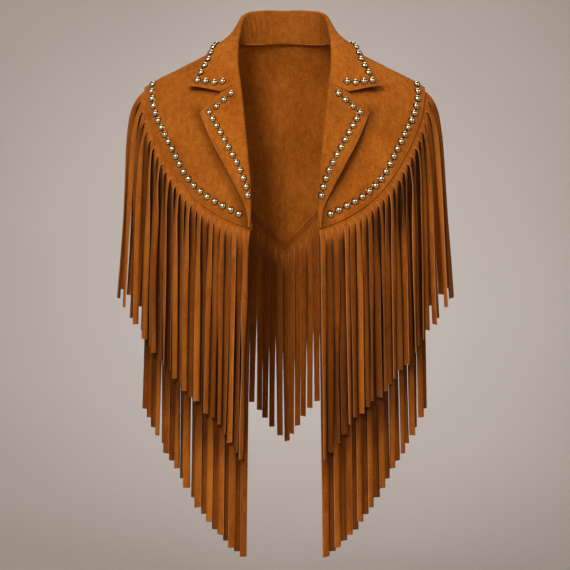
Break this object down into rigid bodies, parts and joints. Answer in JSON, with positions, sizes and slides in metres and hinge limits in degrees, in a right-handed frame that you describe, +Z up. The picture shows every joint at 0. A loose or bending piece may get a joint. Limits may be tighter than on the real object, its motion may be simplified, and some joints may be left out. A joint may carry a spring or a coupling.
{
  "type": "leather fringe cape",
  "caption": "Short suede shoulder cape with notched lapels, domed metal studs and long cut fringe in tiers, held in its worn shape.",
  "frame": {"origin": "middle of the wearer's shoulder line, inside the cape, below the neck opening", "axes": "+Z up along the wearer's neck, -Y towards the front opening, +X towards the wearer's left shoulder"},
  "size_m": [0.5517, 0.2259, 0.8877],
  "materials": {
    "suede": "matt napped",
    "fringe_suede": "matt napped, cut edges",
    "stud_metal": "polished"
  },
  "bodies": {
    "root": {"front_left": "suede", "front_right": "suede", "back": "suede", "lapel_left": "suede", "lapel_right": "suede", "collar": "suede", "fringe_upper_left": "fringe_suede", "fringe_upper_right": "fringe_suede", "fringe_lower_left": "fringe_suede", "fringe_lower_right": "fringe_suede", "fringe_back": "fringe_suede", "studs_hem_left": "stud_metal", "studs_hem_right": "stud_metal", "studs_back": "stud_metal", "studs_lapel_left": "stud_metal", "studs_lapel_right": "stud_metal", "studs_collar": "stud_metal"}
  },
  "joints": []
}
